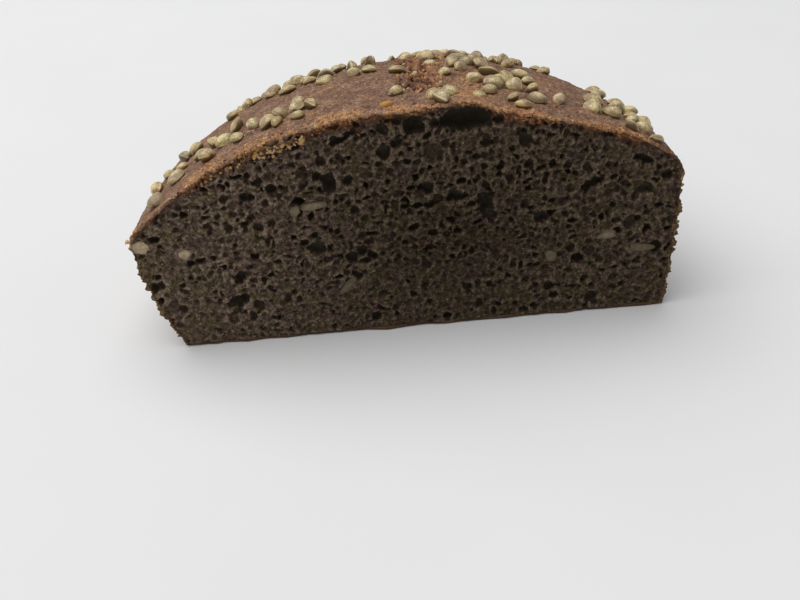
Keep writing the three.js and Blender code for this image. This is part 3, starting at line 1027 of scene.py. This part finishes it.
# %% Seeds as one piece
SEED_TILT = 0.6
chance = np.random.default_rng(740)
seed_shapes = []
seed_tint = []
seed_local = []
for point, upright, spin, size in places:
    dents = 1.0 + 0.15 * cloud(ball + chance.uniform(0.0, 40.0, 3), 0.85, 742)
    own = chance.uniform(0.88, 1.12, 3) * [SEED["long"], SEED["wide"], SEED["thick"]]
    body = seed_ball * dents[:, None] * own * size
    middle = point + upright * SEED["lift"] * SEED["thick"] * size
    seed_shapes.append(body @ turned(upright, spin, SEED_TILT * chance.normal()).T + middle)
    seed_tint.append(chance.random())
    seed_local.append(seed_ball + chance.uniform(-50.0, 50.0, 3))
seed_values = {
    "tint": np.repeat(seed_tint, len(ball)),
    "tip": np.tile(0.5 + 0.5 * ball[:, 0], len(places)),
    "keel": np.tile(fade(np.abs(seed_ball[:, 2]), 0.02, 0.16), len(places)),
    # Height on the seed, which leads the painted highlight on top and the painted shade below
    "rise": np.tile(0.5 + 0.5 * seed_ball[:, 2], len(places)),
    "local": np.concatenate(seed_local),
}
seeds = strew("hemp_seeds", seed_shapes, ball_faces, ball_map, seed_values)

# %% [markdown]
# ### Torn bits of crust
#
# The knife dragged crumbs of crust along the cut, the crown burst, and a stretch of the rim flaked off.
# Relief alone looks too smooth there, so lumpy crumbs are strewn along these places and among the seeds
# beside the burst. None lies in a notch of the rim or hangs before an open pore.

# %% Which bits are kept
# Crumbs at the left lip: across, up, size, warmth
LIP_BITS = [
    (-59.9, 27.4, 0.7, 0.88),
    (-60.6, 27.5, 0.35, 0.92),
    (-59.3, 28.1, 0.6, 0.7),
    (-59.7, 26.4, 0.6, 0.9),
    (-58.8, 29.0, 0.45, 0.6),
    (-58.2, 29.9, 0.4, 0.75),
]
LEDGE = (-31.0, -20.5)
FLAKE = 1.0
OPEN_PORE = 0.9
LAST_U = 0.985
FIRST_T = 0.012
NOTCH_DOWN = -1.2
NOTCH_SHARE = 0.35
chance = np.random.default_rng(760)
bits = []


def left_free(u, d, point):
    """Whether a place lies in a notch of the rim, or on the cut face before an open pore."""
    if NOTCH_DOWN < d < FLAKED_REACH and clumped(u * HALF, FLAKED) > NOTCH_SHARE:
        return True
    pore = depth[np.searchsorted(face_z, point[2]), np.searchsorted(face_x, point[0])] if d < 0.0 else 0.0
    return pore > OPEN_PORE


def add_bits(count, place, least, most, sink, coolest=0.0, warmest=1.0):
    """Torn bits: place gives u and the depth behind the cut; below nought it runs down the face."""
    for _ in range(count):
        u, d = place()
        t = max(d, 0.0) / LENGTH
        u = min(max(u, -LAST_U), LAST_U)
        size = least + (most - least) * chance.random() ** 2
        warm = coolest + (warmest - coolest) * chance.random()
        upright = crust_upright(u, max(t, FIRST_T)) if d > 0.0 else np.array([0.0, -1.0, 0.0])
        point = dome_point(u, t) + [0.0, 0.0, min(d, 0.0)]
        if not left_free(u, d, point):
            bits.append((point - upright * size * sink, size, warm))


print("crumbs at the left lip:", len(LIP_BITS))


# %% Places along the rim
def along_rim():
    """A place close to the edge of the cut, more of them in some stretches than in others."""
    u = dome_u[int(len(dome_u) * chance.random())]
    while chance.random() > 0.55 + 0.45 * math.sin(31.0 * u) * math.sin(12.0 * u + 1.0):
        u = dome_u[int(len(dome_u) * chance.random())]
    return (u, chance.uniform(-0.7, 1.1)) if abs(u * HALF - BLISTER["x"]) > 7.0 else (u, 2.0)


def on_rusty_rim():
    """A place on one of the rusty stretches of the rim."""
    middle, wide, reach, _ = RUSTY[int(len(RUSTY) * chance.random())]
    return (middle + 0.7 * wide * chance.normal()) / HALF, 0.3 * reach * chance.normal() + 0.5


def on_torn_rim():
    """A place on the flaked stretch of the rim."""
    middle, wide = TORN_RIM[chance.random() > 0.7]
    return (middle + 0.6 * wide * chance.normal()) / HALF, max(chance.normal(1.3, 1.8), -1.5)


def on_ledge():
    """A place on the cut face, on the ledge under the notches."""
    return chance.uniform(*LEDGE) / HALF, chance.normal(-2.0, 0.6)


add_bits(360, along_rim, 0.06, 0.26, 0.4)
add_bits(480, on_rusty_rim, 0.07, 0.34, 0.3)
add_bits(460, on_torn_rim, 0.1, 0.5, 0.25, 0.3, 0.9)
add_bits(70, on_ledge, 0.12, 0.55, 0.25, 0.86)
print("bits along the rim:", len(bits))


# %% Places on the crown
def in_burst():
    """A place in the burst of the crown."""
    d = chance.uniform(TEAR["from"] - 2.0, TEAR["to"] + 2.0)
    aside = (TEAR["half"] + 0.02 * d) * np.clip(0.9 * chance.normal(), -1.3, 1.3)
    return own_u(aside - tear_aside(0.0, d), d, True), d


def among_seeds():
    """A place between the seeds beside the burst."""
    x = STREWN["x"] + 8.0 * chance.normal()
    d = max(STREWN["d"] + 10.0 * chance.normal(), 3.0)
    return own_u(x, d, True), d


add_bits(330, in_burst, 0.2, 0.75, 0.2)
add_bits(34, in_burst, 0.8, 1.3, 0.4)
add_bits(100, among_seeds, 0.1, 0.5, 0.2, 0.15)
bits.append((dome_point(-0.05, 0.05), 1.5, FLAKE))
bits += [(np.array([x, CUT + 0.3, z]), size, warm) for x, z, size, warm in LIP_BITS]
print("torn bits:", len(bits))

# %% Torn bits as one piece
BIT_CUTS = 3
ball, ball_faces, ball_map = even_ball(BIT_CUTS)
bit_shapes = []
for number, (point, size, warm) in enumerate(bits):
    flake = warm == FLAKE
    stretch = np.array([1.1, 0.9, 0.6]) if flake else chance.uniform(0.5, 1.4, 3)
    dents = 0.12 if flake else 0.85 - 0.4 * min(size, 1.0)
    body = ball * (1.0 + dents * cloud(ball + 3.7 * number, 0.6, 770))[:, None] * stretch * size
    axis = Vector(chance.normal(size=3)).normalized()
    turn = Matrix.Rotation(0.3 if flake else chance.uniform(0.0, 2.0 * math.pi), 3, axis)
    bit_shapes.append(body @ np.array(turn).T + point)
bit_values = {"warm": np.repeat([warm for _, _, warm in bits], len(ball))}
torn_bits = strew("torn_bits", bit_shapes, ball_faces, ball_map, bit_values)

# %% [markdown]
# ## Finishes
#
# Every finish is a small net of nodes: noise at the real size of the grain, mixed by the values that the
# pieces carry. Unlike a picture stretched over the loaf, it has no seams and stays sharp close up. The
# helpers below keep each finish short to read.

# %% Helpers for finishes
BUMP_STRENGTH = 0.8


class Net:
    """The net of nodes of one finish."""

    def __init__(self, name):
        self.material = bpy.data.materials.new(name)
        self.material.use_nodes = True
        self.nodes = self.material.node_tree.nodes
        self.place = self.nodes.new("ShaderNodeTexCoord").outputs["Object"]

    def fill(self, sockets, values):
        """Each named socket gets a link, a colour or a number."""
        for title, value in values.items():
            if isinstance(value, tuple):
                sockets[title].default_value = (*value, 1.0)
            elif isinstance(value, float):
                sockets[title].default_value = value
            else:
                self.material.node_tree.links.new(value, sockets[title])

    def node(self, kind, values, **settings):
        """A new node with its settings and what goes in; gives what comes out."""
        node = self.nodes.new("ShaderNode" + kind)
        for title, setting in settings.items():
            setattr(node, title, setting)
        self.fill(node.inputs, values)
        return node.outputs

    def carried(self, title, output="Fac"):
        """A value that the piece carries on its points."""
        return self.node("Attribute", {}, attribute_name=title)[output]

    def grains(self, size, detail=3.0, harsh=0.55, place=None):
        """Noise with grains of the given size in millimetres."""
        place = self.place if place is None else place
        values = {"Vector": place, "Scale": 1.0 / (size * MM), "Detail": detail, "Roughness": harsh}
        return self.node("TexNoise", values)[0]

    def stops(self, source, *colours):
        """A colour ramp: each stop is its place and its colour or grey."""
        node = self.nodes.new("ShaderNodeValToRGB")
        points = node.color_ramp.elements
        while len(points) < len(colours):
            points.new(0.5)
        for point, (where, colour) in zip(points, colours):
            point.position = where
            point.color = (*(colour if isinstance(colour, tuple) else 3 * (colour,)), 1.0)
        self.fill(node.inputs, {"Fac": source})
        return node.outputs["Color"]

    def blend(self, share, first, second, way="MIX"):
        """Two colours mixed; a colour is a socket or a plain triple."""
        return self.node("Mix", {0: share, 6: first, 7: second}, data_type="RGBA", blend_type=way)[2]

    def sums(self, way, first, second):
        """Arithmetic between two sockets or numbers, kept between 0 and 1."""
        return self.node("Math", {0: first, 1: second}, operation=way, use_clamp=True)[0]

    def end(self, piece, colour, dullness, bumps, bump_height, gloss):
        """Joins colour, roughness and fine bumps to the shader, and gives the finish to a piece."""
        bump = {"Strength": BUMP_STRENGTH, "Distance": bump_height * MM, "Height": bumps}
        values = {"Base Color": colour, "Roughness": dullness, "Specular IOR Level": gloss}
        values["Normal"] = self.node("Bump", bump)["Normal"]
        self.fill(self.nodes["Principled BSDF"].inputs, values)
        piece.data.materials.append(self.material)
        print(self.material.name, "on", piece.name)


# %% [markdown]
# ### Baked crust
#
# The top is a dull mottled plum brown with pale specks of flour and rusty grains. Where the crust tore the
# colour turns to rust. The walls are a warmer brown, golden by the cut, partly as a painted highlight.
# Painted shade darkens the pores of the walls, the hollows of the top and of the burst, the notches of the
# rim, the right shoulder by the cut and the base. Each of these is one mix, led by a value that the crust
# carries.

# %% Crust finish
PLUM = (0.19, 0.102, 0.063)
PLUM_DARK = (0.115, 0.057, 0.036)
PLUM_PALE = (0.29, 0.175, 0.118)
RUST = (0.37, 0.16, 0.066)
RUST_DARK = (0.14, 0.058, 0.027)
RUST_PALE = (0.55, 0.335, 0.155)
SPLIT = (0.24, 0.105, 0.054)
SPLIT_DARK = (0.055, 0.02, 0.012)
SPLIT_PALE = (0.5, 0.3, 0.135)
FLOUR = (0.55, 0.42, 0.32)
WALL_BROWN = (0.15, 0.085, 0.045)
PAINTED_SHADE_BROWN = (0.04, 0.022, 0.012)
GOLD = (0.29, 0.185, 0.085)
GOLD_DARK = (0.125, 0.076, 0.038)
net = Net("crust_finish")
fine = net.grains(0.7, 4.0, 0.75)
mottle = net.stops(net.grains(4.0, 4.0, 0.65), (0.3, PLUM_DARK), (0.5, PLUM), (0.7, PLUM_PALE))
top = net.blend(0.85, mottle, net.stops(fine, (0.36, 0.12), (0.5, 0.5), (0.64, 0.9)), "OVERLAY")
speckle = net.grains(0.8, 5.0, 0.8)
rust = net.stops(speckle, (0.4, RUST_DARK), (0.49, RUST), (0.6, RUST_PALE))
patches = net.stops(net.grains(9.0, 2.0), (0.48, 0.15), (0.66, 0.85))
rusty_spots = net.sums("MULTIPLY", patches, net.stops(net.grains(1.1, 3.0, 0.7), (0.45, 0.0), (0.62, 1.0)))
dust = net.sums("ADD", net.carried("near_cut"), net.stops(speckle, (0.35, 0.0), (0.65, 0.6)))
dust = net.stops(dust, (0.62, 0.0), (0.95, 0.9))
top = net.blend(net.sums("MAXIMUM", dust, rusty_spots), top, rust)
split = (0.4, SPLIT_DARK), (0.5, SPLIT), (0.57, RUST), (0.68, SPLIT_PALE)
top = net.blend(net.carried("torn"), top, net.stops(net.grains(1.7, 4.0, 0.7), *split))
top = net.blend(net.stops(net.grains(0.6, 2.0, 0.6), (0.61, 0.0), (0.69, 0.75)), top, FLOUR)
walls = net.stops(net.grains(1.2, 4.0, 0.7), (0.3, RUST_DARK), (0.5, WALL_BROWN), (0.72, RUST))
# Golden brown of the walls by the cut: partly the crust's own colour, partly a painted highlight
gold = net.stops(fine, (0.36, SPLIT_DARK), (0.48, GOLD_DARK), (0.64, GOLD))
walls = net.blend(net.carried("near_cut"), walls, gold)
colour = net.blend(net.carried("wall"), top, walls)
# Painted shade: darker in the hollows, the notches, on the right shoulder and on the base
colour = net.blend(net.stops(net.carried("painted_shade_share"), (0.12, 0.0), (0.7, 0.75)), colour, PAINTED_SHADE_BROWN)
net.end(crust, colour, net.stops(fine, (0.3, 0.55), (0.7, 0.8)), fine, 0.3, 0.2)

# %% [markdown]
# ### Crumb
#
# Rye and hemp flour bake to a grey brown, nearly purple, with pale and greenish grains no larger than sand.
# The palest specks are partly such grains and partly painted glints. Painted light makes the walls between
# pores paler and painted shade makes their floors darker, on top of the real shade inside the pores. Close to
# the crust the crumb takes on rust over painted shade under the rim, the side walls give a golden edge that
# is partly a painted highlight, and painted shade darkens the middle and right of the face.

# %% Crumb finish
CRUMB = (0.108, 0.074, 0.05)
CRUMB_HOLLOW_SHADE = (0.058, 0.036, 0.024)
CRUMB_RIDGE_LIGHT = (0.242, 0.181, 0.129)
GREENISH = (0.1, 0.077, 0.033)
PURPLISH = (0.095, 0.053, 0.047)
CRUST_RED = (0.15, 0.062, 0.028)
UNDER_RIM_RED_AND_SHADE = (0.085, 0.036, 0.021)
SPECK_AND_GLINT = (0.5, 0.43, 0.33)
MIDDLE_SHADE_TINT = (0.42, 0.405, 0.36)
PAINTED_PORE_SHADE = (0.03, 0.021, 0.014)
PAINTED_DEEP_PORE_SHADE = (0.08, 0.067, 0.048)
net = Net("crumb_finish")
fine = net.grains(0.6, 4.0, 0.75)
# Painted light and shade: ridges of the crumb are paler, hollows darker
body = net.stops(net.carried("ridge_light_hollow_shade"), (0.22, CRUMB_HOLLOW_SHADE), (0.5, CRUMB), (0.76, CRUMB_RIDGE_LIGHT))
hue = net.grains(2.0, 3.0, 0.65)
body = net.blend(net.stops(hue, (0.5, 0.0), (0.64, 0.8)), body, GREENISH)
body = net.blend(net.stops(hue, (0.36, 0.8), (0.5, 0.0)), body, PURPLISH)
body = net.blend(0.85, body, net.stops(fine, (0.36, 0.15), (0.5, 0.5), (0.64, 0.9)), "OVERLAY")
# Pale specks: partly crumb grains, partly painted glints
body = net.blend(net.stops(net.grains(0.55, 1.0), (0.7, 0.0), (0.77, 0.8)), body, SPECK_AND_GLINT)
# Painted shade over the middle and right of the face
body = net.blend(net.carried("painted_middle_shade"), body, MIDDLE_SHADE_TINT, "MULTIPLY")
near_crust = net.carried("crusty")
# Dark red-brown under the rim: partly the crust's red, partly painted shade
body = net.blend(net.stops(near_crust, (0.0, 0.0), (0.4, 0.75)), body, UNDER_RIM_RED_AND_SHADE)
rust = net.stops(fine, (0.36, RUST_DARK), (0.5, CRUST_RED), (0.58, RUST), (0.7, RUST_PALE))
body = net.blend(net.stops(near_crust, (0.3, 0.0), (0.8, 0.95)), body, rust)
# Golden edge by the side walls: partly the crust's colour, partly a painted highlight
gold = net.stops(fine, (0.36, SPLIT_DARK), (0.5, GOLD_DARK), (0.66, GOLD))
body = net.blend(net.carried("golden_edge_and_highlight"), body, gold)
pore = net.carried("pore")
# Painted shade: pores are darkened by their depth, on top of the real shade inside them
pore_shade_tint = net.stops(pore, (0.4, PAINTED_PORE_SHADE), (1.0, PAINTED_DEEP_PORE_SHADE))
colour = net.blend(net.stops(pore, (0.1, 0.0), (0.5, 0.45), (0.95, 0.95)), body, pore_shade_tint)
net.end(crumb, colour, net.stops(fine, (0.3, 0.7), (0.7, 0.92)), fine, 0.25, 0.1)

# %% [markdown]
# ### Hemp seeds, kernels and torn bits
#
# The seeds are pale olive to straw: a number drawn for each picks its tint, and a net of veins runs over it.
# The keel is paler, the blunt end has a dark eye, and the shell shines a little. Each seed also gets a
# painted highlight on its top and painted shade on its lower side. The kernels are matt beige, and the torn
# bits go from dark to orange rust.

# %% Seed finish
SEED_TINTS = [
    (0.0, (0.13, 0.1, 0.08)),
    (0.06, (0.28, 0.18, 0.07)),
    (0.2, (0.48, 0.31, 0.105)),
    (0.35, (0.53, 0.41, 0.155)),
    (0.5, (0.62, 0.39, 0.125)),
    (0.65, (0.65, 0.51, 0.205)),
    (0.8, (0.52, 0.43, 0.21)),
    (0.92, (0.7, 0.55, 0.25)),
    (1.0, (0.6, 0.48, 0.27)),
]
# The next colours include a painted highlight for the seeds' tops and painted shade for their lower sides
SEED_PAINTED_TOP_LIGHT = (0.93, 0.77, 0.42)
SEED_CLOUD = (0.25, 0.165, 0.1)
SEED_PAINTED_UNDER_SHADE = (0.12, 0.075, 0.03)
SEED_KEEL = (0.82, 0.68, 0.38)
SEED_EYE = (0.06, 0.04, 0.025)
VEINS = 3.6
CLOUD_SIZE = 900.0
net = Net("hemp_shell")
local = net.carried("local", "Vector")
height = net.carried("rise")
colour = net.stops(net.carried("tint"), *SEED_TINTS)
# Painted highlight: the top of each seed is lightened
colour = net.blend(net.stops(height, (0.55, 0.0), (0.95, 0.82)), colour, SEED_PAINTED_TOP_LIGHT)
veins = net.node("TexVoronoi", {"Vector": local, "Scale": VEINS}, feature="DISTANCE_TO_EDGE")["Distance"]
colour = net.blend(0.75, colour, net.stops(veins, (0.0, 0.4), (0.2, 1.0)), "MULTIPLY")
clouds = net.grains(CLOUD_SIZE, 3.0, 0.6, local)
colour = net.blend(net.stops(clouds, (0.44, 0.0), (0.58, 0.75)), colour, SEED_CLOUD)
# Painted shade: the lower side of each seed is darkened
colour = net.blend(net.stops(height, (0.2, 0.95), (0.6, 0.0)), colour, SEED_PAINTED_UNDER_SHADE)
colour = net.blend(net.sums("MULTIPLY", net.carried("keel"), 0.6), colour, SEED_KEEL)
colour = net.blend(net.stops(net.carried("tip"), (0.0, 0.9), (0.03, 0.0)), colour, SEED_EYE)
net.end(seeds, colour, net.stops(clouds, (0.3, 0.25), (0.7, 0.42)), clouds, 0.08, 0.35)

# %% Kernel finish
KERNEL_TINTS = [(0.3, (0.36, 0.265, 0.165)), (0.52, (0.56, 0.43, 0.275)), (0.75, (0.72, 0.57, 0.385))]
net = Net("kernel_cut")
fine = net.grains(0.9, 4.0, 0.65)
paleness = net.stops(net.carried("pale"), (0.0, 0.15), (1.0, 1.0))
colour = net.blend(1.0, net.stops(fine, *KERNEL_TINTS), paleness, "MULTIPLY")
colour = net.blend(net.stops(net.carried("brim"), (0.55, 0.0), (0.97, 0.8)), colour, CRUMB)
net.end(kernels, colour, net.stops(fine, (0.3, 0.6), (0.7, 0.8)), fine, 0.15, 0.12)

# %% Torn-bit finish
WARMTH = [
    (0.0, (0.07, 0.03, 0.015)),
    (0.3, (0.15, 0.066, 0.032)),
    (0.6, (0.33, 0.155, 0.06)),
    (0.82, (0.52, 0.28, 0.1)),
    (0.94, (0.62, 0.46, 0.25)),
    (1.0, (0.5, 0.25, 0.055)),
]
net = Net("torn_crust")
fine = net.grains(0.4, 4.0, 0.75)
colour = net.stops(net.carried("warm"), *WARMTH)
colour = net.blend(0.75, colour, net.stops(fine, (0.3, 0.2), (0.5, 0.5), (0.7, 0.8)), "OVERLAY")
net.end(torn_bits, colour, net.stops(fine, (0.3, 0.5), (0.7, 0.85)), fine, 0.14, 0.35)

# %% [markdown]
# ## Floor, light and camera
#
# A plain pale floor throws light back on the dark cut. One wide soft lamp hangs above and a little behind,
# so the crust is bright and the cut lies in half shade. The camera looks down from the front, slightly
# rolled, with the lens that was worked out from the loaf's corners.

# %% Floor
FLOOR_HALF = 2.0
FLOOR_DROP = 0.0002
FLOOR_TINTS = [(0.3, (0.785, 0.785, 0.79)), (0.7, (0.8, 0.8, 0.805))]
floor_signs = ((-1, -1), (1, -1), (1, 1), (-1, 1))
floor_corners = [(x * FLOOR_HALF, y * FLOOR_HALF, -FLOOR_DROP) for x, y in floor_signs]
floor_mesh = bpy.data.meshes.new("floor")
floor_mesh.from_pydata(floor_corners, [], [(0, 1, 2, 3)])
floor = put_in("floor", floor_mesh)
net = Net("pale_floor")
soft = net.grains(60.0, 2.0)
net.end(floor, net.stops(soft, *FLOOR_TINTS), net.stops(soft, (0.3, 0.8), (0.7, 0.9)), soft, 0.2, 0.2)

# %% Lamp and sky
LAMP_PLACE = (-0.5, 0.2, 1.5)
LAMP_ACROSS = 2.4
LAMP_WATTS = 37.0
LAMP_COLOUR = (1.0, 0.99, 0.975)
SKY = (0.92, 0.96, 1.0, 1.0)
SKY_STRENGTH = 0.24
lamp_data = bpy.data.lights.new("overhead", "AREA")
lamp_data.size = LAMP_ACROSS
lamp_data.energy = LAMP_WATTS
lamp_data.color = LAMP_COLOUR
lamp = put_in("overhead", lamp_data)
lamp.location = LAMP_PLACE
lamp.rotation_euler = (-Vector(LAMP_PLACE)).to_track_quat("-Z", "Y").to_euler()
world = bpy.data.worlds.new("sky")
world.use_nodes = True
world.node_tree.nodes["Background"].inputs["Color"].default_value = SKY
world.node_tree.nodes["Background"].inputs["Strength"].default_value = SKY_STRENGTH
bpy.context.scene.world = world
bpy.context.scene.view_settings.view_transform = "Standard"
print("lamp:", lamp.name, "watts:", LAMP_WATTS)

# %% Camera
CAMERA_PLACE = (-10.526, -245.496, 130.477)
CAMERA_DOWN = math.radians(31.3235)
CAMERA_YAW = math.radians(2.15)
CAMERA_ROLL = math.radians(4.0)
FOCAL_PIXELS = 1050.0
IMAGE_WIDE = 800.0
SENSOR = 36.0
camera_data = bpy.data.cameras.new("camera")
camera_data.sensor_width = SENSOR
camera_data.lens = FOCAL_PIXELS / IMAGE_WIDE * SENSOR
camera = put_in("camera", camera_data)
aim = Matrix.Rotation(-CAMERA_YAW, 4, "Z") @ Matrix.Rotation(math.pi / 2 - CAMERA_DOWN, 4, "X")
aim = aim @ Matrix.Rotation(-CAMERA_ROLL, 4, "Z")
camera.matrix_world = Matrix.Translation(Vector(CAMERA_PLACE) * MM) @ aim
bpy.context.scene.camera = camera
print("lens, mm:", round(camera_data.lens, 2))
